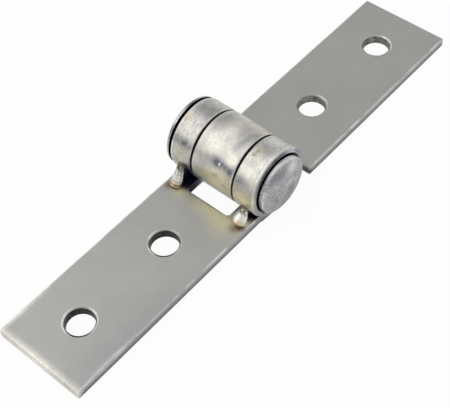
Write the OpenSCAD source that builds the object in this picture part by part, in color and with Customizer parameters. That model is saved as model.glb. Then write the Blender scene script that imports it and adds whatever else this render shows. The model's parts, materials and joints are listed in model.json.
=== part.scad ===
// Butt hinge with long narrow leaves, rolled and tack-welded knuckles and a headed pin.
// The pin's axis runs along Y, the leaves lie open along X and their undersides are on z = 0.

/* [Leaves] */
// Width of the strip that both leaves are made of
leaf_w = 25; // [23:0.5:40]
// Thickness of the strip, which is also the wall of the rolled knuckles
leaf_t = 2.5; // [2:0.1:3.5]
// Length of the two-knuckle leaf, from the pin's axis to its free end
two_knuckle_l = 66.5; // [60:0.5:120]
// Length of the one-knuckle leaf, from the pin's axis to its free end
one_knuckle_l = 69.5; // [60:0.5:120]
// Radius of the free corners, seen from above
corner_r = 0.6; // [0.3:0.1:3]
// Bevel on the long edges
edge_bevel = 0.3; // [0.1:0.05:0.6]
// Rounding of the free end's upper and lower edges
end_round = 0.7; // [0.2:0.05:0.95]

/* [Screw holes] */
// Diameter of the screw holes
hole_d = 7; // [4:0.1:9]
// Distance from a leaf's free end to its outer hole
hole_end = 13; // [8:0.5:16]
// Distance from the outer hole to the inner hole
hole_pitch = 27.5; // [15:0.5:28]
// Bevel on the holes' upper rims
hole_bevel = 0.4; // [0.1:0.05:0.6]

/* [Knuckles] */
// Length of the middle knuckle
middle_l = 12.1; // [8:0.1:13]
// Gap between the middle knuckle and each outer knuckle
knuckle_gap = 0.55; // [0.4:0.05:1.2]
// Gap between the middle knuckle and the end of the slot that it turns in
slot_gap = 1.9; // [1.2:0.1:4]
// Gap between the outer knuckles and the shoulders of the other leaf
shoulder_gap = 3.2; // [2:0.1:6]
// Radius of the inner corners of the slot and the shoulders
inner_corner_r = 1; // [0.4:0.1:2]
// Gap between the rolled end of the strip and the leaf that it comes back to
seam = 0.25; // [0.1:0.05:0.6]
// How far rolling has spread the outer knuckles past the leaf's sides
spread = 0.4; // [0.2:0.05:0.8]
// Length over which the sides of the leaf widen towards the roll
spread_run = 6; // [3:0.5:9]
// Rounding of the barrel's two outer edges
outer_round = 0.6; // [0.3:0.05:1.5]
// Bevel at the mouths of the barrel's bore, next to the pin's heads
bore_flare = 1.2; // [0.3:0.1:1.5]
// Rounding of the knuckle edges that face each other
inner_round = 0.35; // [0.1:0.05:0.8]

/* [Pin] */
// Diameter of the pin
pin_d = 13.3; // [10:0.1:15]
// Radial clearance of the pin in the knuckles
pin_clear = 0.08; // [0.02:0.01:0.1]
// How far the formed head stands out all round past the pin
head_lip = 2.35; // [1:0.05:2.4]
// How far the riveted end, which is ground, stands out all round past the pin
rivet_lip = 0.8; // [0.6:0.05:2.2]
// Gap between the formed head and the knuckle next to it
head_gap = 0.6; // [0.4:0.05:1]
// Gap between the riveted end and the knuckle next to it
rivet_gap = 0.3; // [0.2:0.05:0.4]
// Height of the formed head at its rim
head_rim = 0.9; // [0.6:0.05:2]
// Rounding of the rim
head_round = 0.55; // [0.2:0.05:0.6]
// Rise of the crown above the rim
head_crown = 0.45; // [0.2:0.05:1.5]

/* [Welds] */
// Radius of the weld beads
weld_r = 1.3; // [1:0.05:1.6]
// Reach of the long bead along its leaf, from the notch under the knuckle
long_weld_reach = 6.6; // [5:0.1:8]
// Rise of the long bead up its knuckle, from the leaf's upper face
long_weld_rise = 5; // [3:0.1:6]
// Reach of the short beads along their leaf
short_weld_reach = 5.4; // [4:0.1:7]
// Rise of the short beads up their knuckle
short_weld_rise = 2.8; // [1.5:0.1:5]
// Distance between the ripples of a bead
weld_ripple = 0.9; // [0.7:0.05:1.6]
// How much a bead narrows from its foot to its top, as a share of its radius
weld_taper = 0.4; // [0:0.05:0.5]

/* [Hidden] */
$fn = 96;

bore_r = pin_d / 2 + pin_clear;
barrel_r = bore_r + leaf_t;
barrel_l = leaf_w + 2 * spread;
slot_w = middle_l + 2 * knuckle_gap;
slot_x = barrel_r + slot_gap;
shoulder_x = barrel_r + shoulder_gap;
tab_y = (leaf_w + slot_w) / 4;

// Both ends of the pin stand out equally far, whatever their gaps are
head_out = head_gap + head_rim;

// Place of the pin's axis, so that the open hinge is centred on the origin
axis_x = (two_knuckle_l - one_knuckle_l) / 2;

// How far a cutting shape runs past the surface that it cuts, and how deep a weld sinks in
past = 1;
sink = 0.5;

// Where the square-cut end of the roll comes back to the leaf's upper face
notch_angle = acos((bore_r - seam) / barrel_r);
notch_x = barrel_r * sin(notch_angle);

// Colours of satin strip steel and of the brighter turned pin
strip_colour = [0.64, 0.64, 0.62];
pin_colour = [0.70, 0.70, 0.69];

// Distance from the pin's axis plane to the knuckle's surface at height z
function knuckle_x(z) = sqrt(pow(barrel_r, 2) - pow(barrel_r - z, 2));

// Turns a shape drawn around Z so that it stands around the pin's axis
module around_pin() {
    translate([0, 0, barrel_r]) rotate([-90, 0, 0]) children();
}

// Flat strip seen from the side, with the edges of its free end rounded
module strip_profile(length) {
    translate([-length + end_round, 0]) square([length - end_round, leaf_t]);
    translate([-length, end_round]) square([length, leaf_t - 2 * end_round]);
    for (z = [end_round, leaf_t - end_round]) translate([-length + end_round, z]) circle(end_round);
}

// Side view of a rolled strip: flat leaf, full loop and the notch where the loop ends
module rolled_profile(length) {
    reach = barrel_r + past;
    difference() {
        union() {
            strip_profile(length);
            translate([0, barrel_r]) circle(barrel_r);
        }
        translate([0, barrel_r]) circle(bore_r);
        polygon([
            [0, barrel_r],
            [0, leaf_t],
            [-reach * tan(notch_angle), leaf_t],
            [-reach * sin(notch_angle), barrel_r - reach * cos(notch_angle)]
        ]);
    }
}

// Outline of a flat leaf from above, with rounded free corners and sides that widen at the roll
module leaf_plan(length) {
    straight = length - corner_r;
    translate([-straight, -leaf_w / 2]) square([straight, leaf_w]);
    translate([-length, -leaf_w / 2 + corner_r]) square([length, leaf_w - 2 * corner_r]);
    for (side = [-1, 1]) translate([-straight, side * (leaf_w / 2 - corner_r)]) circle(corner_r);
    polygon([
        [-spread_run, -leaf_w / 2],
        [0, -barrel_l / 2],
        [0, barrel_l / 2],
        [-spread_run, leaf_w / 2]
    ]);
}

// Takes away what the flat part of a full-width strip has outside the leaf's outline
module side_trim(length) {
    translate([0, 0, -past]) linear_extrude(leaf_t + seam / 2 + past) difference() {
        translate([-length - past, -barrel_l / 2 - past]) square([length + past, barrel_l + 2 * past]);
        leaf_plan(length);
    }
}

// Row of screw holes with bevelled upper rims
module screw_holes(length) {
    for (x = [hole_end, hole_end + hole_pitch]) translate([x - length, 0, 0]) {
        translate([0, 0, -past]) cylinder(d = hole_d, h = leaf_t + 2 * past);
        translate([0, 0, leaf_t - hole_bevel])
            cylinder(d1 = hole_d, d2 = hole_d + 4 * hole_bevel, h = 2 * hole_bevel);
    }
}

// Cuts the bevels along the straight part of a leaf's long edges
module long_edge_bevels(length) {
    run = length + past - spread_run;
    side = edge_bevel * sqrt(2);
    for (y = [-1, 1], z = [0, leaf_t])
        translate([-spread_run - run / 2, y * leaf_w / 2, z])
            rotate([45, 0, 0]) cube([run, side, side], center = true);
}

// Strip with one full-width knuckle, before the knuckle is divided
module rolled_strip(length) {
    difference() {
        rotate([90, 0, 0]) linear_extrude(barrel_l, center = true) rolled_profile(length);
        side_trim(length);
        screw_holes(length);
        long_edge_bevels(length);
    }
}

// Plan of a cut that runs from a rounded inner corner at the origin past the barrel
module corner_cut(from_axis, width) {
    length = from_axis + barrel_r + past;
    translate([inner_corner_r, 0]) square([length - inner_corner_r, width]);
    translate([0, inner_corner_r]) square([length, width - inner_corner_r]);
    translate([inner_corner_r, inner_corner_r]) circle(inner_corner_r);
}

// Slot between the outer knuckles
module slot_cut() {
    translate([0, 0, -past]) linear_extrude(2 * barrel_r + 2 * past)
        for (side = [0, 1]) mirror([0, side])
            translate([-slot_x, -slot_w / 2]) corner_cut(slot_x, slot_w - inner_corner_r);
}

// Cuts on both sides of the middle knuckle, back to the shoulders
module shoulder_cuts() {
    translate([0, 0, -past]) linear_extrude(2 * barrel_r + 2 * past)
        for (side = [0, 1]) mirror([0, side])
            translate([-shoulder_x, middle_l / 2]) corner_cut(shoulder_x, leaf_w);
}

// Rounds the edge of a knuckle that ends at y, all round the roll but not on the flat leaf
module knuckle_edge(y, radius, faces_middle = false) {
    mirror([0, y < 0 ? 1 : 0, 0]) difference() {
        around_pin() rotate_extrude() translate([barrel_r - radius, abs(y)])
            mirror([0, faces_middle ? 1 : 0]) translate([0, -radius]) difference() {
                square(radius + past / 2);
                circle(radius);
            }
        translate([-2 * barrel_r, 0, -past])
            cube([2 * barrel_r, leaf_w + past, leaf_t + seam / 2 + past]);
    }
}

// Bevels both mouths of the barrel's bore
module bore_mouths() {
    around_pin() for (side = [0, 1]) mirror([0, 0, side]) translate([0, 0, barrel_l / 2 - bore_flare])
        cylinder(r1 = bore_r, r2 = bore_r + 2 * bore_flare, h = 2 * bore_flare);
}

// Tack weld at y: a web that fills the notch, under a row of overlapping ripples
module tack_weld(y, reach, rise) {
    toe = [-notch_x - reach + weld_r, leaf_t];
    crown = [-knuckle_x(leaf_t + rise), leaf_t + rise];
    run = crown - toe;
    steps = ceil(norm(run) / weld_ripple);
    translate([0, y + weld_r / 2, 0]) rotate([90, 0, 0]) linear_extrude(weld_r) polygon([
        [toe.x, toe.y - sink],
        [-notch_x + sink, toe.y - sink],
        [crown.x + sink, crown.y],
        crown
    ]);
    for (i = [0:steps]) translate([toe.x + run.x * i / steps, y, toe.y + run.y * i / steps])
        sphere(weld_r * (1 - weld_taper * i / steps));
}

module two_knuckle_leaf() {
    color(strip_colour) translate([axis_x, 0, 0]) {
        difference() {
            rolled_strip(two_knuckle_l);
            slot_cut();
            bore_mouths();
            for (side = [-1, 1]) {
                knuckle_edge(side * barrel_l / 2, outer_round);
                knuckle_edge(side * slot_w / 2, inner_round, faces_middle = true);
            }
        }
        tack_weld(tab_y, long_weld_reach, long_weld_rise);
        tack_weld(-tab_y, short_weld_reach, short_weld_rise);
    }
}

module one_knuckle_leaf() {
    color(strip_colour) translate([axis_x, 0, 0]) mirror([1, 0, 0]) {
        difference() {
            rolled_strip(one_knuckle_l);
            shoulder_cuts();
            for (side = [-1, 1]) knuckle_edge(side * middle_l / 2, inner_round);
        }
        tack_weld(0, short_weld_reach, short_weld_rise);
    }
}

// Half section of a pin end from the gap next to the barrel out: rounded rim and low crown
module head_profile(head_r, gap) {
    flat_r = head_r - head_round;
    crown_r = (pow(flat_r, 2) + pow(head_crown, 2)) / (2 * head_crown);
    translate([0, gap]) {
        square([flat_r, head_out - gap]);
        square([head_r, head_out - gap - head_round]);
    }
    translate([flat_r, head_out - head_round]) circle(head_round);
    intersection() {
        translate([0, head_out + head_crown - crown_r]) circle(crown_r);
        translate([0, gap]) square([flat_r, head_out + head_crown - gap]);
    }
}

module hinge_pin() {
    color(pin_colour) translate([axis_x, 0, 0]) around_pin() {
        cylinder(d = pin_d, h = barrel_l + 2 * head_gap, center = true);
        translate([0, 0, barrel_l / 2]) rotate_extrude() head_profile(pin_d / 2 + head_lip, head_gap);
        mirror([0, 0, 1]) translate([0, 0, barrel_l / 2])
            rotate_extrude() head_profile(pin_d / 2 + rivet_lip, rivet_gap);
    }
}

two_knuckle_leaf();
one_knuckle_leaf();
hinge_pin();
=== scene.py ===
import json
import math

import bpy
from mathutils import Matrix, Vector


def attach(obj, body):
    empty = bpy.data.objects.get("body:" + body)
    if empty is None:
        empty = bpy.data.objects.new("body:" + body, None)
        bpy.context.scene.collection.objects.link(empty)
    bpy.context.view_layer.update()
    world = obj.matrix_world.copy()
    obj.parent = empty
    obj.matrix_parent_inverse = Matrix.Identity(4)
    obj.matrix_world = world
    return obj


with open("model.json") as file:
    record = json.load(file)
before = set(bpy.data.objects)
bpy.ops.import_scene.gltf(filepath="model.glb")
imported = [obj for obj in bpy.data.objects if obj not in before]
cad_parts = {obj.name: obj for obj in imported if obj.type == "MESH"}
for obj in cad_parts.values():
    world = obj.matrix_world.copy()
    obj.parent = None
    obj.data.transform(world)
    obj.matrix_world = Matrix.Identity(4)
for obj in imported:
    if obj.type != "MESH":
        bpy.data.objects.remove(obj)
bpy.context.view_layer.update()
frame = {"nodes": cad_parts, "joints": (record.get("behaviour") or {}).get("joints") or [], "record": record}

# Sizes of the hinge in millimetres, from the pin's axis where nothing else is said
MM = 0.001
PIN_AXIS = Vector(frame["joints"][0]["pos_m"]) / MM
BARREL_R = PIN_AXIS.z
LEAF_T, LEAF_W = 2.5, 25.0
LEAF_TOP = LEAF_T - PIN_AXIS.z
MOUNTS = {mount["name"]: mount for mount in frame["record"]["mounts"]}
HOLE_R = MOUNTS["two_knuckle_leaf_screws"]["dims"]["hole_r_mm"]
TAB_Y = 9.55
HEAD_Y, HEAD_R = 13.5, 9.0
RIVET_Y, RIVET_R = 13.2, 7.45
BEAD_SAG_X, BEAD_SAG_Z = 0.2, 0.3  # how far a weld bead's curve is drawn in towards the notch

# Where the finish and the painted shade change: radii from the pin's axis, then places along it from the
# hinge's middle.
# Inside the second pair of radii the bore is painted black as shade, and the third is where a painted line of
# shade follows a crease.
FLAT_R, ROLLED_R = 9.75, 9.4
BORE_SHADE_START_R, BORE_SHADE_FULL_R = 8.15, 7.55
CREASE_R = 8.6
MIDDLE_Y, OUTER_Y = 6.2, 6.5
OUTER_EDGES = (-12.9, -6.6, 6.6, 12.9)
MIDDLE_EDGES = (-6.05, 6.05)

ROUND = (1, 1, 1)  # size of a spot that isn't stretched


def linear(hex_colour):
    """An sRGB hex colour as linear RGBA."""
    parts = [int(hex_colour[i : i + 2], 16) / 255 for i in (1, 3, 5)]
    return tuple(c / 12.92 if c <= 0.04045 else ((c + 0.055) / 1.055) ** 2.4 for c in parts) + (1.0,)


def add(tree, kind, inputs=None, **settings):
    """Adds a node with its settings, and sets or links its inputs."""
    node = tree.nodes.new(kind)
    for name, value in settings.items():
        setattr(node, name, value)
    for key, value in (inputs or {}).items():
        if isinstance(value, bpy.types.NodeSocket):
            tree.links.new(value, node.inputs[key])
        else:
            node.inputs[key].default_value = value
    return node


def hole_places(leaf):
    """X of a leaf's two screw holes, from its mount in the record."""
    mount = MOUNTS[leaf + "_screws"]
    middle = mount["pos_m"][0] / MM - PIN_AXIS.x
    half = mount["dims"]["spacing_x_mm"] / 2
    return middle - half, middle + half


def on_knuckle(angle, y):
    """Point on the barrel: angle in degrees from the top towards the two-knuckle leaf."""
    a = math.radians(angle)
    return (-BARREL_R * math.sin(a), y, BARREL_R * math.cos(a))


def new_material(name):
    """An empty node material, its shader, and its coordinates in millimetres from the pin's axis."""
    material = bpy.data.materials.new(name)
    material.use_nodes = True
    tree = material.node_tree
    tree.nodes.clear()
    place = add(tree, "ShaderNodeTexCoord")
    mm = add(tree, "ShaderNodeVectorMath", {0: place.outputs["Object"], 1: (1 / MM,) * 3, 2: -PIN_AXIS},
             operation="MULTIPLY_ADD").outputs[0]
    shader = add(tree, "ShaderNodeBsdfPrincipled", {"Metallic": 1.0})
    add(tree, "ShaderNodeOutputMaterial", {"Surface": shader.outputs[0]})
    return material, tree, shader, mm


def near_point(tree, mm, point, reach, size=ROUND):
    """1 at a point, falling to 0 at reach millimetres; size stretches the spot along each axis."""
    offset = add(tree, "ShaderNodeVectorMath", {0: mm, 1: point}, operation="SUBTRACT").outputs[0]
    scaled = add(tree, "ShaderNodeVectorMath", {0: offset, 1: size}, operation="DIVIDE").outputs[0]
    far = add(tree, "ShaderNodeVectorMath", {0: scaled}, operation="LENGTH").outputs["Value"]
    return add(tree, "ShaderNodeMapRange", {"Value": far, "From Max": reach, "To Min": 1.0, "To Max": 0.0},
               interpolation_type="SMOOTHSTEP").outputs[0]


def tinted(tree, mm, colour, uneven, tints):
    """Lays tints over a colour, each as (colour, strength, point, reach, size)."""
    for tint, strength, point, reach, size in tints:
        spot = near_point(tree, mm, point, reach, size)
        spot = add(tree, "ShaderNodeMath", {0: spot, 1: strength}, operation="MULTIPLY").outputs[0]
        spot = add(tree, "ShaderNodeMath", {0: spot, 1: uneven}, operation="MULTIPLY", use_clamp=True)
        colour = add(tree, "ShaderNodeMix", {"Factor": spot.outputs[0], 6: colour, 7: linear(tint)},
                     data_type="RGBA").outputs[2]
    return colour


def flat_strip(tree, mm):
    """The satin colour of cold-rolled strip, its grain and its speckle."""

    # Grain 0.3 mm across so that it shows, and clouds about 14 mm across
    grain = add(tree, "ShaderNodeTexNoise", {"Vector": mm, "Scale": 3.3, "Detail": 4.0,
                                             "Roughness": 0.65}).outputs["Fac"]
    clouds = add(tree, "ShaderNodeTexNoise", {"Vector": mm, "Scale": 0.07, "Detail": 3.0,
                                              "Roughness": 0.55}).outputs["Fac"]
    colour = add(tree, "ShaderNodeMix", {"Factor": clouds, 6: linear("#a0a19f"), 7: linear("#b2b2b0")},
                 data_type="RGBA").outputs[2]
    speck = add(tree, "ShaderNodeMapRange", {"Value": grain, "From Min": 0.3, "From Max": 0.7,
                                             "To Min": 0.93, "To Max": 1.06}).outputs[0]
    colour = add(tree, "ShaderNodeVectorMath", {0: colour, 1: speck}, operation="MULTIPLY").outputs[0]
    return colour, grain, speck


def rolled_strip(tree, mm, off_middle, speck):
    """The colour of the tumbled knuckles, and the blotches, mottle and smoke in it."""

    # Smoky blotches about 4 mm across, under a mottle of about 1 mm
    stretched = add(tree, "ShaderNodeVectorMath", {0: mm, 1: (0.8, 1.25, 0.8)}, operation="MULTIPLY")
    blotch = add(tree, "ShaderNodeTexNoise", {"Vector": stretched.outputs[0], "Scale": 0.24, "Detail": 5.0,
                                              "Roughness": 0.6, "Distortion": 0.3}).outputs["Fac"]
    smoky = add(tree, "ShaderNodeMapRange", {"Value": blotch, "From Min": 0.35, "From Max": 0.8},
                interpolation_type="SMOOTHSTEP").outputs[0]
    colour = add(tree, "ShaderNodeMix", {"Factor": smoky, 6: linear("#d3d1cb"), 7: linear("#aeaeae")},
                 data_type="RGBA").outputs[2]
    mottle = add(tree, "ShaderNodeTexNoise", {"Vector": mm, "Scale": 1.0, "Detail": 5.0,
                                              "Roughness": 0.62}).outputs["Fac"]
    shade = add(tree, "ShaderNodeMapRange", {"Value": mottle, "From Min": 0.3, "From Max": 0.7,
                                             "To Min": 0.86, "To Max": 1.1}).outputs[0]

    # Rolling marks of the outer knuckles, 0.5 mm wide so that they show, and flaky specks 0.4 mm by 0.9 mm
    outer = add(tree, "ShaderNodeMapRange", {"Value": off_middle, "From Min": MIDDLE_Y,
                                             "From Max": OUTER_Y}).outputs[0]
    marks = add(tree, "ShaderNodeVectorMath", {0: mm, 1: (0.12, 2.0, 0.12)}, operation="MULTIPLY")
    marks = add(tree, "ShaderNodeTexNoise", {"Vector": marks.outputs[0], "Scale": 1.0, "Detail": 2.0})
    marks = add(tree, "ShaderNodeMapRange", {"Value": marks.outputs["Fac"], "From Min": 0.35,
                                             "From Max": 0.65, "To Min": -0.09, "To Max": 0.06})
    flakes = add(tree, "ShaderNodeVectorMath", {0: mm, 1: (1.1, 2.5, 1.1)}, operation="MULTIPLY")
    flakes = add(tree, "ShaderNodeTexNoise", {"Vector": flakes.outputs[0], "Scale": 1.0, "Detail": 4.0,
                                              "Roughness": 0.7})
    flakes = add(tree, "ShaderNodeMapRange", {"Value": flakes.outputs["Fac"], "From Min": 0.35,
                                              "From Max": 0.65, "To Min": -0.16, "To Max": 0.14})
    marks = add(tree, "ShaderNodeMath", {0: marks.outputs[0], 1: flakes.outputs[0]}, operation="ADD")
    marks = add(tree, "ShaderNodeMath", {0: marks.outputs[0], 1: outer, 2: 1.0}, operation="MULTIPLY_ADD")
    for factor in (shade, speck, marks.outputs[0]):
        colour = add(tree, "ShaderNodeVectorMath", {0: colour, 1: factor}, operation="MULTIPLY").outputs[0]
    return colour, blotch, mottle, smoky


def highlit_ends(tree, colour, along, edge_ys, knuckle, uneven):
    """Lays painted highlights along the knuckles' rounded ends over a colour."""
    for y in edge_ys:
        off = add(tree, "ShaderNodeMath", {0: along, 1: y}, operation="SUBTRACT")
        off = add(tree, "ShaderNodeMath", {0: off.outputs[0]}, operation="ABSOLUTE")
        highlight = add(tree, "ShaderNodeMapRange", {"Value": off.outputs[0], "From Min": 0.36, "From Max": 0.05,
                                                "To Max": 0.85})
        highlight = add(tree, "ShaderNodeMath", {0: highlight.outputs[0], 1: knuckle}, operation="MULTIPLY")
        highlight = add(tree, "ShaderNodeMath", {0: highlight.outputs[0], 1: uneven}, operation="MULTIPLY",
                   use_clamp=True)
        colour = add(tree, "ShaderNodeMix", {"Factor": highlight.outputs[0], 6: colour, 7: linear("#eeede8")},
                     data_type="RGBA").outputs[2]
    return colour


def lit_edges_and_shaded_sides(tree, colour, up, off_middle, knuckle, bright):
    """Lays painted highlights along a leaf's long edges over its colour, and paints the sheared sides and the
    knuckles' end rings darker and bluer as shade, darker towards the bottom.
    """
    # Painted highlight along the long edges
    edge = add(tree, "ShaderNodeMapRange", {"Value": off_middle, "From Min": LEAF_W / 2 - 0.5,
                                            "From Max": LEAF_W / 2 - 0.25})
    edge = add(tree, "ShaderNodeMath", {0: edge.outputs[0], 1: bright}, operation="MULTIPLY")
    colour = add(tree, "ShaderNodeMix", {"Factor": edge.outputs[0], 6: colour, 7: linear("#e6e6e4")},
                 data_type="RGBA").outputs[2]
    # Painted shade on the sides, darker and bluer towards the bottom
    cut = add(tree, "ShaderNodeMapRange", {"Value": up, "From Min": LEAF_TOP - 1.7,
                                           "From Max": LEAF_TOP - 0.6})
    cut = add(tree, "ShaderNodeMix", {"Factor": cut.outputs[0], 6: linear("#7f8086"), 7: linear("#acadae")},
              data_type="RGBA")
    cut = add(tree, "ShaderNodeMix", {"Factor": knuckle, 6: cut.outputs[2], 7: linear("#a2a3a9")},
              data_type="RGBA")

    # Faces that look sideways, and the rounded edges at the barrel's ends, which take the painted shade
    normal = add(tree, "ShaderNodeSeparateXYZ", {0: add(tree, "ShaderNodeNewGeometry").outputs["Normal"]})
    side = add(tree, "ShaderNodeMath", {0: normal.outputs["Y"]}, operation="ABSOLUTE")
    ring = add(tree, "ShaderNodeMapRange", {"Value": off_middle, "From Min": LEAF_W / 2 - 3,
                                            "From Max": LEAF_W / 2 - 2})
    ring = add(tree, "ShaderNodeMath", {0: ring.outputs[0], 1: knuckle}, operation="MULTIPLY")
    side = add(tree, "ShaderNodeMath", {0: ring.outputs[0], 1: 0.25, 2: side.outputs[0]},
               operation="MULTIPLY_ADD")
    sheared = add(tree, "ShaderNodeMapRange", {"Value": side.outputs[0], "From Min": 0.8, "From Max": 0.95})
    return add(tree, "ShaderNodeMix", {"Factor": sheared.outputs[0], 6: colour, 7: cut.outputs[2]},
               data_type="RGBA").outputs[2]


def shaded_end_creases(tree, colour, up, radius, off_middle, uneven):
    """Lays a dark line of painted shade along the crease that hammering left round the upper half of the
    barrel's ends over a colour.
    """

    # Painted shade along the crease, 0.5 mm wide so that it shows
    crease = add(tree, "ShaderNodeMath", {0: radius, 1: CREASE_R}, operation="SUBTRACT")
    crease = add(tree, "ShaderNodeMath", {0: crease.outputs[0]}, operation="ABSOLUTE")
    crease = add(tree, "ShaderNodeMapRange", {"Value": crease.outputs[0], "From Min": 0.34, "From Max": 0.14})
    for value, start, end in ((off_middle, LEAF_W / 2, LEAF_W / 2 + 0.2), (up, 3.0, 7.0)):
        within = add(tree, "ShaderNodeMapRange", {"Value": value, "From Min": start, "From Max": end})
        crease = add(tree, "ShaderNodeMath", {0: crease.outputs[0], 1: within.outputs[0]},
                     operation="MULTIPLY")
    crease = add(tree, "ShaderNodeMath", {0: crease.outputs[0], 1: uneven}, operation="MULTIPLY",
                 use_clamp=True)
    return add(tree, "ShaderNodeMix", {"Factor": crease.outputs[0], 6: colour, 7: linear("#2c2d33")},
               data_type="RGBA").outputs[2]


def punched_hole(tree, mm, colour, x, both_sides, bright, walls):
    """Lays a screw hole's walls, painted dark as shade, over a colour, in an uneven rim with a painted
    highlight and a painted shadow on one side.
    """
    hole = add(tree, "ShaderNodeVectorMath", {0: mm, 1: (x, 0, 0)}, operation="SUBTRACT").outputs[0]
    hole = add(tree, "ShaderNodeVectorMath", {0: hole, 1: (1, 1, 0)}, operation="MULTIPLY").outputs[0]
    away = add(tree, "ShaderNodeVectorMath", {0: hole}, operation="LENGTH").outputs["Value"]
    outward = add(tree, "ShaderNodeVectorMath", {0: hole}, operation="NORMALIZE").outputs[0]
    # Painted highlight on the rim, on one side or on two
    highlight = add(tree, "ShaderNodeVectorMath", {0: outward, 1: (0.7, -0.7, 0)}, operation="DOT_PRODUCT")
    highlight = add(tree, "ShaderNodeMath", {0: highlight.outputs["Value"], 1: 0.0},
               operation="ABSOLUTE" if both_sides else "MAXIMUM")
    highlight = add(tree, "ShaderNodeMapRange", {"Value": highlight.outputs[0], "From Min": 0.2, "From Max": 0.9,
                                            "To Min": 0.12})
    rim = add(tree, "ShaderNodeMapRange", {"Value": away, "From Min": HOLE_R + 0.72,
                                           "From Max": HOLE_R + 0.45})
    rim = add(tree, "ShaderNodeMath", {0: rim.outputs[0], 1: highlight.outputs[0]}, operation="MULTIPLY")
    rim = add(tree, "ShaderNodeMath", {0: rim.outputs[0], 1: bright}, operation="MULTIPLY")
    colour = add(tree, "ShaderNodeMix", {"Factor": rim.outputs[0], 6: colour, 7: linear("#f2f1ed")},
                 data_type="RGBA").outputs[2]
    # Painted shadow: the dark wall reaches further out on the lower side
    dark = add(tree, "ShaderNodeVectorMath", {0: outward, 1: (-0.7, -0.7, 0)}, operation="DOT_PRODUCT")
    dark = add(tree, "ShaderNodeMapRange", {"Value": dark.outputs["Value"], "From Min": 0.5,
                                            "From Max": 0.95, "To Max": 0.5})
    wall = add(tree, "ShaderNodeMath", {0: away, 1: dark.outputs[0]}, operation="SUBTRACT")
    wall = add(tree, "ShaderNodeMapRange", {"Value": wall.outputs[0], "From Min": HOLE_R + 0.2,
                                            "From Max": HOLE_R + 0.06})
    return add(tree, "ShaderNodeMix", {"Factor": wall.outputs[0], 6: colour, 7: walls},
               data_type="RGBA").outputs[2]


def strip_relief(tree, mm, knuckle, mottle, grain, dings):
    """The bumpy normal of the strip: unevenness of the knuckles, 5 mm across, and dings, under fine grain."""
    waves = add(tree, "ShaderNodeTexNoise", {"Vector": mm, "Scale": 0.2, "Detail": 2.0})
    relief = add(tree, "ShaderNodeMath", {0: mottle, 1: 0.12, 2: waves.outputs["Fac"]},
                 operation="MULTIPLY_ADD")
    relief = add(tree, "ShaderNodeMath", {0: relief.outputs[0], 1: knuckle}, operation="MULTIPLY")
    for point, reach in dings:
        pit = near_point(tree, mm, point, reach)
        relief = add(tree, "ShaderNodeMath", {0: pit, 1: -4.0, 2: relief.outputs[0]},
                     operation="MULTIPLY_ADD")
    wavy = add(tree, "ShaderNodeBump", {"Strength": 0.2, "Distance": 0.3 * MM, "Height": relief.outputs[0]})
    return add(tree, "ShaderNodeBump", {"Strength": 0.25, "Distance": 0.02 * MM, "Height": grain,
                                        "Normal": wavy.outputs[0]}).outputs[0]


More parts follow.
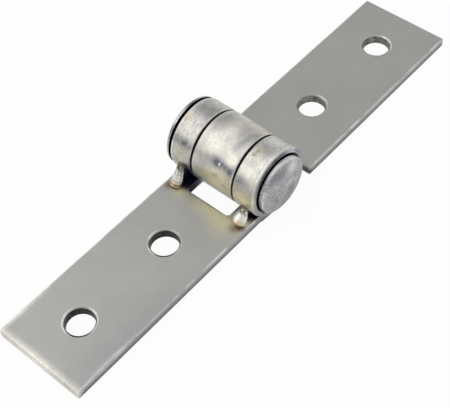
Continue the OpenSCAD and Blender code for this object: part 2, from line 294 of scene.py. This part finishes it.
def steel_strip(name, hole_xs, shaded_wall_colours, both_sides, edge_ys, tints, dings):
    """Stainless strip, cold rolled to a satin grey and tumbled brighter where it is rolled into knuckles.

    The flat shows a fine grain and faint clouds. The knuckles are glossier, mottled and smoky in places,
    with painted highlights at their ends and a dark line of painted shade along a crease at the barrel's
    ends.
    Welding has left straw and brown heat colours. The punched hole walls are painted dark as shade, inside
    rims with a painted highlight and a painted shadow on one side; the sheared sides and the knuckles' end
    rings are painted darker and bluer as shade, darker towards the bottom, below long edges with a painted
    highlight, and the bore is painted black as shade.
    shaded_wall_colours are the darkest and lightest of the painted shade in the hole walls, both_sides says
    whether the hole rims have their painted highlight on two sides or one, edge_ys are the ends of the
    knuckles, tints are heat colours, smoky patches, painted highlights, painted dark reflections and painted
    shade, and dings are small pits as (point, reach).
    """
    material, tree, shader, mm = new_material(name)
    axes = add(tree, "ShaderNodeSeparateXYZ", {0: mm}).outputs
    across = add(tree, "ShaderNodeCombineXYZ", {"X": axes["X"], "Z": axes["Z"]})
    radius = add(tree, "ShaderNodeVectorMath", {0: across.outputs[0]}, operation="LENGTH").outputs["Value"]
    off_middle = add(tree, "ShaderNodeMath", {0: axes["Y"]}, operation="ABSOLUTE").outputs[0]
    knuckle = add(tree, "ShaderNodeMapRange", {"Value": radius, "From Min": FLAT_R, "From Max": ROLLED_R},
                  interpolation_type="SMOOTHSTEP").outputs[0]
    flat, grain, speck = flat_strip(tree, mm)
    rolled, blotch, mottle, smoky = rolled_strip(tree, mm, off_middle, speck)
    colour = add(tree, "ShaderNodeMix", {"Factor": knuckle, 6: flat, 7: rolled}, data_type="RGBA").outputs[2]

    # Unevenness of the painted highlights, the painted shade and the heat colours, from the blotches and the
    # mottle, stronger on the knuckles
    uneven = add(tree, "ShaderNodeMath", {0: blotch, 1: mottle}, operation="ADD")
    least = add(tree, "ShaderNodeMapRange", {"Value": knuckle, "To Min": 0.6, "To Max": 0.3}).outputs[0]
    most = add(tree, "ShaderNodeMapRange", {"Value": knuckle, "To Min": 1.15, "To Max": 1.4}).outputs[0]
    uneven = add(tree, "ShaderNodeMapRange", {"Value": uneven.outputs[0], "From Min": 0.75, "From Max": 1.2,
                                              "To Min": least, "To Max": most}).outputs[0]
    bright = add(tree, "ShaderNodeMapRange", {"Value": blotch, "From Min": 0.4, "From Max": 0.6,
                                              "To Min": 0.3, "To Max": 1.0}).outputs[0]
    colour = highlit_ends(tree, colour, axes["Y"], edge_ys, knuckle, uneven)
    colour = lit_edges_and_shaded_sides(tree, colour, axes["Z"], off_middle, knuckle, bright)
    colour = shaded_end_creases(tree, colour, axes["Z"], radius, off_middle, uneven)
    colour = tinted(tree, mm, colour, uneven, tints)

    # Punched screw holes, their walls painted dark as shade and streaked
    streak = add(tree, "ShaderNodeMapRange", {"Value": mottle, "From Min": 0.35, "From Max": 0.65})
    walls = add(tree, "ShaderNodeMix", {"Factor": streak.outputs[0], 6: linear(shaded_wall_colours[0]),
                                        7: linear(shaded_wall_colours[1])}, data_type="RGBA").outputs[2]
    for x in hole_xs:
        colour = punched_hole(tree, mm, colour, x, both_sides, bright, walls)

    # Painted shade: the bore and the grooves next to the pin painted black
    bore = add(tree, "ShaderNodeMapRange", {"Value": radius, "From Min": BORE_SHADE_START_R, "From Max": BORE_SHADE_FULL_R})
    colour = add(tree, "ShaderNodeMix", {"Factor": bore.outputs[0], 6: colour, 7: linear("#0c0c0e")},
                 data_type="RGBA").outputs[2]

    # Gloss of the flat and of the knuckles
    dull = add(tree, "ShaderNodeMapRange", {"Value": smoky, "To Min": 0.38, "To Max": 0.48})
    satin = add(tree, "ShaderNodeMapRange", {"Value": grain, "From Min": 0.3, "From Max": 0.7,
                                             "To Min": 0.4, "To Max": 0.5})
    rough = add(tree, "ShaderNodeMix", {"Factor": knuckle, 2: satin.outputs[0], 3: dull.outputs[0]})
    relief = strip_relief(tree, mm, knuckle, mottle, grain, dings)
    for socket, value in (("Base Color", colour), ("Roughness", rough.outputs[0]), ("Normal", relief)):
        tree.links.new(value, shader.inputs[socket])
    return material


def ground_bar(tints):
    """Stainless bar with ground and hammered ends, a bluish grey.

    The ends have grinding streaks, fine speckle and shallow flats, and their rims carry a painted highlight.
    Between them the bar is painted black as shade, as the grooves show.
    """
    material, tree, shader, mm = new_material("ground stainless bar")
    axes = add(tree, "ShaderNodeSeparateXYZ", {0: mm})
    across = add(tree, "ShaderNodeCombineXYZ", {"X": axes.outputs["X"], "Z": axes.outputs["Z"]})
    radius = add(tree, "ShaderNodeVectorMath", {0: across.outputs[0]}, operation="LENGTH").outputs["Value"]
    depth = add(tree, "ShaderNodeMath", {0: axes.outputs["Y"], 1: (HEAD_Y - RIVET_Y) / 2},
                operation="SUBTRACT")
    depth = add(tree, "ShaderNodeMath", {0: depth.outputs[0]}, operation="ABSOLUTE").outputs[0]

    # Speckle of about 0.5 mm, streaks 0.6 mm wide and 8 mm long, stains of 3 mm, and flats about 4 mm across
    speckle = add(tree, "ShaderNodeTexNoise", {"Vector": mm, "Scale": 2.0, "Detail": 5.0, "Roughness": 0.7})
    turned = add(tree, "ShaderNodeMapping", {"Vector": mm, "Rotation": (0, math.radians(-35), 0),
                                             "Scale": (0.12, 1, 1.6)})
    streaks = add(tree, "ShaderNodeTexNoise", {"Vector": turned.outputs[0], "Scale": 1.0, "Detail": 3.0})
    flats = add(tree, "ShaderNodeTexVoronoi", {"Vector": mm, "Scale": 0.24, "Smoothness": 0.6,
                                               "Randomness": 1.0}, feature="SMOOTH_F1")
    stains = add(tree, "ShaderNodeTexNoise", {"Vector": mm, "Scale": 0.3, "Detail": 3.0, "Roughness": 0.6})

    # The riveted end is more speckled than the formed head, and the rims carry a painted highlight, strongest
    # along the top of the riveted end
    riveted = add(tree, "ShaderNodeMapRange", {"Value": axes.outputs["Y"], "From Min": 1.0,
                                               "From Max": -1.0}).outputs[0]
    speckle = add(tree, "ShaderNodeMath", {0: speckle.outputs["Fac"], 1: 0.5}, operation="SUBTRACT")
    weight = add(tree, "ShaderNodeMath", {0: riveted, 1: 1.4, 2: 1.4}, operation="MULTIPLY_ADD")
    tone = add(tree, "ShaderNodeMath", {0: speckle.outputs[0], 1: weight.outputs[0],
                                        2: stains.outputs["Fac"]}, operation="MULTIPLY_ADD")
    tone = add(tree, "ShaderNodeMath", {0: streaks.outputs["Fac"], 1: 0.35, 2: tone.outputs[0]},
               operation="MULTIPLY_ADD")
    tone = add(tree, "ShaderNodeMapRange", {"Value": tone.outputs[0], "From Min": 0.15, "From Max": 1.15})
    colour = add(tree, "ShaderNodeMix", {"Factor": tone.outputs[0], 6: linear("#80818c"),
                                         7: linear("#cacaca")}, data_type="RGBA").outputs[2]
    rim = add(tree, "ShaderNodeMapRange", {"Value": riveted, "To Min": HEAD_R, "To Max": RIVET_R})
    rim = add(tree, "ShaderNodeMath", {0: radius, 1: rim.outputs[0]}, operation="SUBTRACT")
    rim = add(tree, "ShaderNodeMapRange", {"Value": rim.outputs[0], "From Min": -0.5, "From Max": -0.1})
    highlight = add(tree, "ShaderNodeMapRange", {"Value": axes.outputs["Z"], "From Min": 4.5, "From Max": 7.0,
                                            "To Max": 0.6})
    highlight = add(tree, "ShaderNodeMath", {0: highlight.outputs[0], 1: riveted}, operation="MULTIPLY")
    highlight = add(tree, "ShaderNodeMath", {0: tone.outputs[0], 1: 0.7, 2: highlight.outputs[0]},
               operation="MULTIPLY_ADD")
    rim = add(tree, "ShaderNodeMath", {0: rim.outputs[0], 1: highlight.outputs[0]},
              operation="MULTIPLY", use_clamp=True)
    colour = add(tree, "ShaderNodeMix", {"Factor": rim.outputs[0], 6: colour, 7: linear("#eeeeec")},
                 data_type="RGBA").outputs[2]
    colour = tinted(tree, mm, colour, 1.0, tints)
    # Painted shade: the bar between its ends, inside the bore, painted black
    inside = add(tree, "ShaderNodeMapRange", {"Value": depth, "From Min": (HEAD_Y + RIVET_Y) / 2 + 0.08,
                                              "From Max": (HEAD_Y + RIVET_Y) / 2})
    colour = add(tree, "ShaderNodeMix", {"Factor": inside.outputs[0], 6: colour, 7: linear("#0c0c0e")},
                 data_type="RGBA").outputs[2]
    bump = add(tree, "ShaderNodeBump", {"Strength": 0.4, "Distance": 0.3 * MM,
                                        "Height": flats.outputs["Distance"]})
    bump = add(tree, "ShaderNodeBump", {"Strength": 0.3, "Distance": 0.04 * MM, "Height": tone.outputs[0],
                                        "Normal": bump.outputs[0]})
    shader.inputs["Roughness"].default_value = 0.38
    tree.links.new(colour, shader.inputs["Base Color"])
    tree.links.new(bump.outputs[0], shader.inputs["Normal"])
    return material


def weld_metal():
    """Weld bead without filler, bright and smooth, with brown oxide rings at its foot and its top painted
    dark olive as shade.
    """
    material, tree, shader, mm = new_material("bright weld metal")
    along = add(tree, "ShaderNodeAttribute", attribute_name="along")
    ripple = add(tree, "ShaderNodeAttribute", attribute_name="ripple")
    oxide = add(tree, "ShaderNodeAttribute", attribute_name="oxide")

    # Uneven skin, 0.7 mm across
    skin = add(tree, "ShaderNodeTexNoise", {"Vector": mm, "Scale": 1.4, "Detail": 2.0})
    top_shade = add(tree, "ShaderNodeMath", {0: skin.outputs["Fac"], 1: 0.7, 2: along.outputs["Fac"]},
                  operation="MULTIPLY_ADD")
    foot = add(tree, "ShaderNodeMapRange", {"Value": along.outputs["Fac"], "From Min": 0.42, "From Max": 0.2})
    # Painted shade: the bead's top turns dark olive, unevenly with the skin
    top = add(tree, "ShaderNodeMapRange", {"Value": top_shade.outputs[0], "From Min": 0.85, "From Max": 1.2})
    valley = add(tree, "ShaderNodeMapRange", {"Value": ripple.outputs["Fac"], "From Min": 0.75,
                                              "From Max": 0.25})
    rings = add(tree, "ShaderNodeMath", {0: foot.outputs[0], 1: valley.outputs[0]}, operation="MULTIPLY")
    broken = add(tree, "ShaderNodeMapRange", {"Value": skin.outputs["Fac"], "From Min": 0.3, "From Max": 0.5})
    rings = add(tree, "ShaderNodeMath", {0: rings.outputs[0], 1: broken.outputs[0]}, operation="MULTIPLY")
    rings = add(tree, "ShaderNodeMath", {0: rings.outputs[0], 1: oxide.outputs["Fac"]}, operation="MULTIPLY")
    warm = add(tree, "ShaderNodeMix", {"Factor": foot.outputs[0], 6: linear("#f1f2ee"), 7: linear("#e0cdb0")},
               data_type="RGBA")
    colour = add(tree, "ShaderNodeMix", {"Factor": rings.outputs[0], 6: warm.outputs[2],
                                         7: linear("#53301c")}, data_type="RGBA")
    colour = add(tree, "ShaderNodeMix", {"Factor": top.outputs[0], 6: colour.outputs[2],
                                         7: linear("#6f6a52")}, data_type="RGBA")
    bump = add(tree, "ShaderNodeBump", {"Strength": 0.3, "Distance": 0.3 * MM, "Height": skin.outputs["Fac"]})
    shader.inputs["Roughness"].default_value = 0.26
    tree.links.new(colour.outputs[2], shader.inputs["Base Color"])
    tree.links.new(bump.outputs[0], shader.inputs["Normal"])
    return material


def bead_nodes(material):
    """Geometry nodes of a weld bead: a rounded run of ripples along a curve from its toe to its crown."""
    tree = bpy.data.node_groups.new("weld bead", "GeometryNodeTree")
    face = tree.interface
    for name, kind in (("Toe", "NodeSocketVector"), ("Middle", "NodeSocketVector"),
                       ("Crown", "NodeSocketVector"), ("Radius", "NodeSocketFloat"),
                       ("Ripple Pitch", "NodeSocketFloat"), ("Ripple Depth", "NodeSocketFloat"),
                       ("Foot Swell", "NodeSocketFloat"), ("Top", "NodeSocketFloat"),
                       ("Unevenness", "NodeSocketFloat"), ("Oxide", "NodeSocketFloat")):
        face.new_socket(name, in_out="INPUT", socket_type=kind)
    face.new_socket("Geometry", in_out="OUTPUT", socket_type="NodeSocketGeometry")
    size = add(tree, "NodeGroupInput").outputs
    path = add(tree, "GeometryNodeCurveQuadraticBezier", {"Resolution": 72, "Start": size["Toe"],
                                                          "Middle": size["Middle"], "End": size["Crown"]})
    where = add(tree, "GeometryNodeSplineParameter")
    turn = add(tree, "ShaderNodeMath", {0: where.outputs["Length"], 1: size["Ripple Pitch"]},
               operation="DIVIDE")
    turn = add(tree, "ShaderNodeMath", {0: turn.outputs[0], 1: math.pi}, operation="MULTIPLY")
    ripple = add(tree, "ShaderNodeMath", {0: turn.outputs[0]}, operation="SINE")
    ripple = add(tree, "ShaderNodeMath", {0: ripple.outputs[0]}, operation="ABSOLUTE").outputs[0]
    depth = add(tree, "ShaderNodeMapRange", {"Value": where.outputs["Factor"], "From Min": 0.3,
                                             "From Max": 0.55, "To Min": size["Ripple Depth"], "To Max": 0.0})
    relief = add(tree, "ShaderNodeMath", {0: ripple, 1: depth.outputs[0], 2: 1.0}, operation="MULTIPLY_ADD")

    # Blunt round ends, and a foot that spreads on the leaf
    from_middle = add(tree, "ShaderNodeMath", {0: where.outputs["Factor"], 1: 2.0, 2: -1.0},
                      operation="MULTIPLY_ADD")
    from_middle = add(tree, "ShaderNodeMath", {0: from_middle.outputs[0]}, operation="ABSOLUTE")
    end = add(tree, "ShaderNodeMath", {0: from_middle.outputs[0], 1: 7.0}, operation="POWER")
    end = add(tree, "ShaderNodeMath", {0: 1.0005, 1: end.outputs[0]}, operation="SUBTRACT")
    end = add(tree, "ShaderNodeMath", {0: end.outputs[0]}, operation="SQRT")
    foot = add(tree, "ShaderNodeMapRange", {"Value": where.outputs["Factor"], "From Min": 0.1,
                                            "From Max": 0.9, "To Min": size["Foot Swell"],
                                            "To Max": size["Top"]}, interpolation_type="SMOOTHSTEP")
    wide = add(tree, "ShaderNodeMath", {0: relief.outputs[0], 1: end.outputs[0]}, operation="MULTIPLY")
    wide = add(tree, "ShaderNodeMath", {0: wide.outputs[0], 1: foot.outputs[0]}, operation="MULTIPLY")
    wide = add(tree, "ShaderNodeMath", {0: wide.outputs[0], 1: size["Radius"]}, operation="MULTIPLY")
    for name, value in (("along", where.outputs["Factor"]), ("ripple", ripple), ("oxide", size["Oxide"])):
        path = add(tree, "GeometryNodeStoreNamedAttribute", {"Geometry": path.outputs[0], "Name": name,
                                                             "Value": value}, domain="POINT")
    ring = add(tree, "GeometryNodeCurvePrimitiveCircle", {"Resolution": 36, "Radius": 1.0})
    bead = add(tree, "GeometryNodeCurveToMesh", {"Curve": path.outputs[0], "Profile Curve": ring.outputs[0],
                                                 "Scale": wide.outputs[0], "Fill Caps": True})

    # Lumps of about 2 mm
    spot = add(tree, "GeometryNodeInputPosition")
    lumps = add(tree, "ShaderNodeTexNoise", {"Vector": spot.outputs[0], "Scale": 0.45 / MM, "Detail": 1.0})
    push = add(tree, "ShaderNodeMath", {0: lumps.outputs["Fac"], 1: size["Unevenness"]}, operation="MULTIPLY")
    normal = add(tree, "GeometryNodeInputNormal")
    push = add(tree, "ShaderNodeVectorMath", {0: normal.outputs[0], "Scale": push.outputs[0]},
               operation="SCALE")
    bead = add(tree, "GeometryNodeSetPosition", {"Geometry": bead.outputs[0], "Offset": push.outputs[0]})
    bead = add(tree, "GeometryNodeSetShadeSmooth", {"Geometry": bead.outputs[0]})
    bead = add(tree, "GeometryNodeRealizeInstances", {"Geometry": bead.outputs[0]})
    bead = add(tree, "GeometryNodeSetMaterial", {"Geometry": bead.outputs[0], "Material": material})
    add(tree, "NodeGroupOutput", {"Geometry": bead.outputs[0]})
    return tree


def weld_bead(name, tree, body, y, toe, crown, **sizes):
    """A plain mesh bead at y from toe to crown, (x, z) from the pin's axis and the leaf's underside."""
    start, end = (Vector((PIN_AXIS.x + x, y, z)) * MM for x, z in (toe, crown))
    middle = (start + end) / 2 + Vector((math.copysign(BEAD_SAG_X, -toe[0]), 0, -BEAD_SAG_Z)) * MM
    holder = bpy.data.objects.new(name, bpy.data.meshes.new(name))
    bpy.context.scene.collection.objects.link(holder)
    modifier = holder.modifiers.new("bead", "NODES")
    modifier.node_group = tree
    values = {"Toe": start, "Middle": middle, "Crown": end, **sizes}
    for item in tree.interface.items_tree:
        if item.in_out == "INPUT":
            modifier[item.identifier] = values[item.name]
    mesh = bpy.data.meshes.new_from_object(holder.evaluated_get(bpy.context.evaluated_depsgraph_get()))
    mesh.name = name
    holder.modifiers.clear()
    holder.data = mesh
    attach(holder, body)


def softbox(name, place, aim, size, power, colour):
    """A square area light that the camera doesn't see: place and size in metres, power in watts."""
    light = bpy.data.lights.new(name, "AREA")
    light.size, light.energy, light.color = size, power, linear(colour)[:3]
    lamp = bpy.data.objects.new(name, light)
    lamp.location = place
    lamp.rotation_euler = (Vector(aim) - Vector(place)).to_track_quat("-Z", "Y").to_euler()
    lamp.visible_camera = False
    bpy.context.scene.collection.objects.link(lamp)


# Heat colours from welding, smoky patches of the knuckles and painted light, by where they lie on each piece.
# The cream tints are painted highlights, the frost tints frosty flecks and painted highlights and glints, the
# pale straw a heat colour lightened as painted light, the smoke tints smoke and, low on the knuckles, painted
# dark reflections, and the soot and blue tints painted shade.
STRAW, PALE_STRAW_AND_PAINTED_LIGHT, OLIVE, DARK_OLIVE, BROWN = "#c6c0a3", "#fbf3d6", "#b5b08c", "#857f5e", "#6b4528"
PURPLE, SHADE_BLUE, SHADE_BLACK, SLATE, SMOKE_AND_DARK_REFLECTION = "#5b4d52", "#3c3d58", "#15151d", "#5d5f6e", "#70727e"
FROST_AND_HIGHLIGHT, HIGHLIGHT_CREAM = "#e4e6ec", "#fbf8ee"
near_tints = [
    # Painted dark reflections in smoke grey low on the knuckles
    (SMOKE_AND_DARK_REFLECTION, 0.85, on_knuckle(55, 9.8), 3.2, (1, 2.0, 0.55)),
    (SMOKE_AND_DARK_REFLECTION, 0.75, on_knuckle(61, -8.6), 3.4, (1, 0.9, 0.7)),
    (SMOKE_AND_DARK_REFLECTION, 0.4, on_knuckle(2, -9.0), 3.6, ROUND),
    # Painted highlight
    (HIGHLIGHT_CREAM, 0.5, on_knuckle(43, -9.0), 2.6, (1, 1.2, 1)),
    (SMOKE_AND_DARK_REFLECTION, 0.4, on_knuckle(-5, 9.0), 5.0, (1, 0.9, 1)),
    (OLIVE, 0.6, on_knuckle(18, 11.6), 1.8, ROUND),
    (FROST_AND_HIGHLIGHT, 0.7, on_knuckle(-24, -9.4), 3.8, ROUND),
    (OLIVE, 0.5, on_knuckle(12, -8.4), 2.4, ROUND),
    (BROWN, 0.65, on_knuckle(16, -8.1), 0.9, ROUND),
    (DARK_OLIVE, 0.75, on_knuckle(9, -8.4), 0.95, ROUND),
    (FROST_AND_HIGHLIGHT, 0.7, on_knuckle(-34, -12.6), 4.0, (1, 0.6, 1)),
    # Straw heat colour low on the knuckle, lightened as painted light
    (PALE_STRAW_AND_PAINTED_LIGHT, 1.4, on_knuckle(85, -9.6), 5.2, (1, 1, 0.8)),
    (STRAW, 0.5, on_knuckle(76, 9.4), 3.4, ROUND),
    (STRAW, 0.85, (-12.2, -1.5, LEAF_TOP), 4.6, (1, 2.6, 1)),
    (STRAW, 0.6, (-13.4, -7.6, LEAF_TOP), 6.4, ROUND),
    (STRAW, 0.7, (-12.4, 7.4, LEAF_TOP), 3.8, (1, 1.2, 1)),
    # Painted highlights on the rounded free end and along a long edge
    (HIGHLIGHT_CREAM, 0.9, (-66.4, 0.0, LEAF_TOP - 0.8), 2.3, (1, 16, 1)),
    (SMOKE_AND_DARK_REFLECTION, 0.2, (-43.0, -13.0, LEAF_TOP), 7.0, (4, 1, 1)),
    (SMOKE_AND_DARK_REFLECTION, 0.17, (-54.0, -9.5, LEAF_TOP), 12.0, (2.4, 1, 1)),
    (HIGHLIGHT_CREAM, 0.6, (-60.0, 12.5, LEAF_TOP), 1.7, (8, 1, 1)),
    # Painted highlight along the long edge, and frosty flecks beside the short bead
    (FROST_AND_HIGHLIGHT, 0.5, (-56.0, -12.4, LEAF_TOP), 1.2, (9, 1, 1)),
    (BROWN, 0.9, (-12.7, 10.7, LEAF_TOP), 1.9, ROUND),
    (BROWN, 0.7, (-12.9, -10.0, LEAF_TOP), 2.2, ROUND),
    (PURPLE, 1.2, (-11.8, -10.9, LEAF_TOP), 1.9, ROUND),
    (FROST_AND_HIGHLIGHT, 1.5, (-10.0, -11.5, LEAF_TOP), 1.3, (1.2, 0.8, 1)),
    # Painted shade, dark blue, between the long bead and the slot and under the barrel
    (SHADE_BLUE, 2.8, (-8.4, 7.7, LEAF_TOP + 1.4), 4.4, (0.95, 0.75, 1.5)),
    (SHADE_BLUE, 1.8, on_knuckle(99, 7.1), 2.8, (1, 0.75, 1)),
    # Painted shade, near black, beside the short bead, on the slot's wall and along the slot's edge
    (SHADE_BLACK, 1.6, (-7.2, -10.6, LEAF_TOP), 2.4, (0.8, 1.3, 0.5)),
    (SHADE_BLACK, 1.5, (-9.2, 6.4, LEAF_TOP - 1.2), 2.6, (1, 0.5, 1)),
    (SHADE_BLACK, 0.9, (-11.15, 0.0, LEAF_TOP), 0.45, (1, 22, 1)),
]
far_tints = [
    # Painted highlights on the middle knuckle
    (HIGHLIGHT_CREAM, 0.4, on_knuckle(36, 1.2), 4.8, ROUND),
    # Painted dark reflections in smoke grey low on the middle knuckle
    (SMOKE_AND_DARK_REFLECTION, 1.1, on_knuckle(53, -1.4), 3.2, (0.9, 1.8, 0.52)),
    (SMOKE_AND_DARK_REFLECTION, 0.8, on_knuckle(57, -4.9), 1.6, (1, 0.8, 1)),
    (HIGHLIGHT_CREAM, 0.7, on_knuckle(41, -4.3), 2.4, ROUND),
    (HIGHLIGHT_CREAM, 0.55, on_knuckle(-3, 0.2), 3.2, (1, 0.9, 1)),
    # Painted glint in the dark patch
    (FROST_AND_HIGHLIGHT, 1.6, on_knuckle(54.0, -1.7), 0.55, ROUND),
    (SMOKE_AND_DARK_REFLECTION, 0.35, on_knuckle(-1, 4.2), 3.8, (1.2, 0.9, 1)),
    (SMOKE_AND_DARK_REFLECTION, 0.3, on_knuckle(-6, -3.6), 3.6, (1.2, 1, 1)),
    (SMOKE_AND_DARK_REFLECTION, 0.4, on_knuckle(15, -3.6), 3.0, (1, 0.8, 1)),
    # Straw heat colour low on the knuckle, lightened as painted light
    (PALE_STRAW_AND_PAINTED_LIGHT, 1.3, on_knuckle(83, -2.6), 5.4, (1, 1.3, 0.8)),
    (STRAW, 0.5, on_knuckle(84, 2.0), 4.2, (1, 1.3, 0.7)),
    (DARK_OLIVE, 0.5, on_knuckle(75, -1.2), 1.1, (1, 1.5, 0.8)),
    (DARK_OLIVE, 0.4, on_knuckle(86, -4.2), 1.4, (1, 1.2, 1)),
    (FROST_AND_HIGHLIGHT, 0.08, (55.0, 2.0, LEAF_TOP), 26.0, (1.4, 1, 1)),
    (STRAW, 0.6, (11.5, 0.0, LEAF_TOP), 4.0, (1, 1.2, 1)),
    (STRAW, 0.6, on_knuckle(-82, 0), 5.0, (1, 1, 0.8)),
    (BROWN, 0.7, (12.4, 0.0, LEAF_TOP), 1.9, ROUND),
    # Painted shade at the far leaf's corner by the back bead
    (SHADE_BLACK, 1.1, (12.3, -11.2, LEAF_TOP - 1.5), 3.4, (0.5, 1.3, 0.55)),
]
pin_tints = [
    (SLATE, 0.6, (-2.6, -14.4, 5.4), 4.4, (1.5, 1, 0.8)),
    (SLATE, 0.45, (2.8, -14.6, -2.8), 2.6, ROUND),
    # Painted highlights on the riveted end
    (FROST_AND_HIGHLIGHT, 0.7, (3.2, -14.6, 4.2), 3.2, ROUND),
    (FROST_AND_HIGHLIGHT, 0.5, (1.4, -14.6, 0.1), 0.9, (3, 1, 1)),
    (SLATE, 0.8, (0.5, 14.0, 9.0), 4.6, ROUND),
    (SLATE, 0.7, (-6.6, 14.0, 6.1), 2.2, ROUND),
]
middle_dings = [(on_knuckle(54.4, -1.7), 0.8), (on_knuckle(56.5, -2.8), 0.5)]
# The hole walls' colours are painted shade, darker on the two-knuckle leaf
near_strip = steel_strip("satin stainless strip, two knuckles", hole_places("two_knuckle_leaf"),
                         ("#1a1a24", "#4e4c49"), True, OUTER_EDGES, near_tints, [])
far_strip = steel_strip("satin stainless strip, one knuckle", hole_places("one_knuckle_leaf"),
                        ("#4e4e4c", "#9c9c97"), False, MIDDLE_EDGES, far_tints, middle_dings)
for name, material in (("two_knuckle_leaf", near_strip), ("one_knuckle_leaf", far_strip),
                       ("hinge_pin", ground_bar(pin_tints))):
    mesh = frame["nodes"][name].data
    mesh.materials.clear()
    mesh.materials.append(material)

bead = bead_nodes(weld_metal())
bead_size = {"Radius": 1.26 * MM, "Ripple Pitch": 0.8 * MM, "Ripple Depth": 0.03, "Foot Swell": 1.04,
             "Top": 0.62, "Unevenness": 0.35 * MM, "Oxide": 1.0}
weld_bead("long_weld", bead, "two_knuckle_side", TAB_Y, (-12.3, 1.7), (-8.6, 8.5), **bead_size)
short_size = {**bead_size, "Radius": 1.4 * MM, "Foot Swell": 1.3, "Oxide": 0.25}
weld_bead("short_weld", bead, "two_knuckle_side", -TAB_Y, (-11.4, 1.6), (-7.8, 6.2), **short_size)
weld_bead("back_weld", bead, "one_knuckle_side", 0.0, (11.4, 1.6), (7.8, 6.2), **short_size)

# Pale floor, in metres, lit so that the camera sees only faint shadows on it
FLOOR_REACH = 3.0
floor_material = bpy.data.materials.new("pale studio floor")
floor_material.use_nodes = True
tree = floor_material.node_tree
tree.nodes.clear()
matt = add(tree, "ShaderNodeBsdfDiffuse", {"Color": linear("#f4f4f2")})
glow = add(tree, "ShaderNodeEmission", {"Color": linear("#ffffff"), "Strength": 1.0})
ray = add(tree, "ShaderNodeLightPath").outputs
share = add(tree, "ShaderNodeMath", {0: ray["Is Glossy Ray"], 1: 0.4}, operation="MULTIPLY")
share = add(tree, "ShaderNodeMath", {0: ray["Is Camera Ray"], 1: 0.94, 2: share.outputs[0]},
            operation="MULTIPLY_ADD")
lit = add(tree, "ShaderNodeMixShader", {0: share.outputs[0], 1: matt.outputs[0], 2: glow.outputs[0]})
add(tree, "ShaderNodeOutputMaterial", {"Surface": lit.outputs[0]})
floor_mesh = bpy.data.meshes.new("floor")
floor_corners = [(x * FLOOR_REACH, y * FLOOR_REACH, 0) for x, y in ((-1, -1), (1, -1), (1, 1), (-1, 1))]
floor_mesh.from_pydata(floor_corners, [], [(0, 1, 2, 3)])
floor_mesh.materials.append(floor_material)
floor = bpy.data.objects.new("floor", floor_mesh)
bpy.context.scene.collection.objects.link(floor)

# Soft studio light: a pale room, dimmer low down on the left, and large softboxes on the left and above
world = bpy.data.worlds.new("studio")
bpy.context.scene.world = world
world.use_nodes = True
tree = world.node_tree
tree.nodes.clear()
direction = add(tree, "ShaderNodeTexCoord").outputs["Generated"]
height = add(tree, "ShaderNodeSeparateXYZ", {0: direction}).outputs["Z"]
low = add(tree, "ShaderNodeMapRange", {"Value": height, "From Min": 0.32, "From Max": 0.05},
          interpolation_type="SMOOTHSTEP")
left = add(tree, "ShaderNodeVectorMath", {0: direction, 1: (-0.9, 0.43, 0)}, operation="DOT_PRODUCT")
left = add(tree, "ShaderNodeMapRange", {"Value": left.outputs["Value"], "From Min": 0.4, "From Max": 0.8},
           interpolation_type="SMOOTHSTEP")
dim = add(tree, "ShaderNodeMath", {0: low.outputs[0], 1: left.outputs[0]}, operation="MULTIPLY")
room = add(tree, "ShaderNodeMapRange", {"Value": dim.outputs[0], "To Min": 0.74, "To Max": 0.3})
seen = add(tree, "ShaderNodeLightPath").outputs["Is Camera Ray"]
room_light = add(tree, "ShaderNodeBackground", {"Color": linear("#fbfaf7"), "Strength": room.outputs[0]})
backdrop = add(tree, "ShaderNodeBackground", {"Color": linear("#fcfcfc"), "Strength": 1.0})
mixed = add(tree, "ShaderNodeMixShader", {0: seen, 1: room_light.outputs[0], 2: backdrop.outputs[0]})
add(tree, "ShaderNodeOutputWorld", {"Surface": mixed.outputs[0]})
softbox("left softbox", (-0.52, 0.33, 0.42), (0, 0, 0), 0.6, 0.7, "#fffdf8")
softbox("top softbox", (-0.08, 0.28, 0.85), (0, 0, 0), 0.8, 1.6, "#ffffff")

# Camera fitted to the photograph: angles in degrees, focal length in pixels of the frame, place in mm
VIEW_ANGLES = (-44.968, 51.828, -5.166)
FRAME_WIDTH, FOCAL_LENGTH, SENSOR_WIDTH = 450, 1091.99, 36.0
EYE_RIGHT, EYE_UP, EYE_BACK = -4.126, -6.518, 266.74
azimuth, elevation, roll = (math.radians(angle) for angle in VIEW_ANGLES)
back = Vector((math.sin(azimuth) * math.cos(elevation), -math.cos(azimuth) * math.cos(elevation),
               math.sin(elevation)))
level = Vector((math.cos(azimuth), math.sin(azimuth), 0))
upright = back.cross(level)
right = level * math.cos(roll) + upright * math.sin(roll)
up = upright * math.cos(roll) - level * math.sin(roll)
camera = bpy.data.cameras.new("camera")
camera.sensor_width, camera.lens = SENSOR_WIDTH, FOCAL_LENGTH * SENSOR_WIDTH / FRAME_WIDTH
camera.clip_start, camera.clip_end = 0.01, 20.0
eye = bpy.data.objects.new("camera", camera)
stand = Matrix.Translation((right * EYE_RIGHT + up * EYE_UP + back * EYE_BACK) * MM)
eye.matrix_world = stand @ Matrix((right, up, back)).transposed().to_4x4()
bpy.context.scene.collection.objects.link(eye)
bpy.context.scene.camera = eye
bpy.context.scene.view_settings.view_transform = "Standard"
